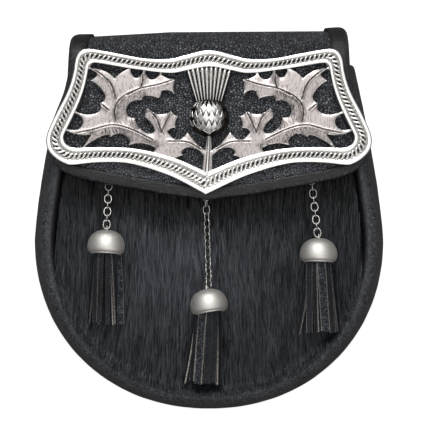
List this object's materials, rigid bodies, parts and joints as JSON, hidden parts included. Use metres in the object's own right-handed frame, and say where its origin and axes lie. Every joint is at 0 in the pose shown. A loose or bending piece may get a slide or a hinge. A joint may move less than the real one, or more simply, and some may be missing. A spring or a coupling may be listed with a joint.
{
  "type": "sporran pouch",
  "caption": "Rounded leather pouch with a fur front, a fold-over flap under a pierced cast metal plate with thistle and leaves, and chained leather tassels.",
  "frame": {"origin": "middle of the back face at the bag's widest line; the back lies on z = 0", "axes": "+Z out of the fur front, +Y to the fold at the top, +X to the right as the front is seen"},
  "size_m": [0.18, 0.1947, 0.0568],
  "materials": {
    "smooth_leather": "smooth black, soft sheen",
    "pebbled_leather": "pebbled black",
    "fur": "long straight black hair",
    "tassel_leather": "cut strips, satin",
    "cast_metal": "cast, polished on its high parts and dark in its low parts",
    "satin_metal": "satin nickel",
    "wire_metal": "bright wire"
  },
  "bodies": {
    "root": {"back_panel": "smooth_leather", "gusset": "smooth_leather", "front_panel": "fur", "closure_stud": "satin_metal", "flap_panel": "pebbled_leather", "flap_binding": "smooth_leather", "plate": "cast_metal", "strap_tab_left": "smooth_leather", "strap_tab_right": "smooth_leather", "strap_ring_left": "wire_metal", "strap_ring_right": "wire_metal", "chain_eye_left": "wire_metal", "chain_left_link_01": "wire_metal", "chain_left_link_02": "wire_metal", "chain_left_link_03": "wire_metal", "chain_left_link_04": "wire_metal", "chain_left_link_05": "wire_metal", "chain_left_link_06": "wire_metal", "chain_left_link_07": "wire_metal", "tassel_cap_left": "satin_metal", "tassel_left": "tassel_leather", "chain_eye_centre": "wire_metal", "chain_centre_link_01": "wire_metal", "chain_centre_link_02": "wire_metal", "chain_centre_link_03": "wire_metal", "chain_centre_link_04": "wire_metal", "chain_centre_link_05": "wire_metal", "chain_centre_link_06": "wire_metal", "chain_centre_link_07": "wire_metal", "chain_centre_link_08": "wire_metal", "chain_centre_link_09": "wire_metal", "chain_centre_link_10": "wire_metal", "chain_centre_link_11": "wire_metal", "chain_centre_link_12": "wire_metal", "chain_centre_link_13": "wire_metal", "chain_centre_link_14": "wire_metal", "tassel_cap_centre": "satin_metal", "tassel_centre": "tassel_leather", "chain_eye_right": "wire_metal", "chain_right_link_01": "wire_metal", "chain_right_link_02": "wire_metal", "chain_right_link_03": "wire_metal", "chain_right_link_04": "wire_metal", "chain_right_link_05": "wire_metal", "chain_right_link_06": "wire_metal", "chain_right_link_07": "wire_metal", "chain_right_link_08": "wire_metal", "chain_right_link_09": "wire_metal", "tassel_cap_right": "satin_metal", "tassel_right": "tassel_leather"}
  },
  "joints": []
}
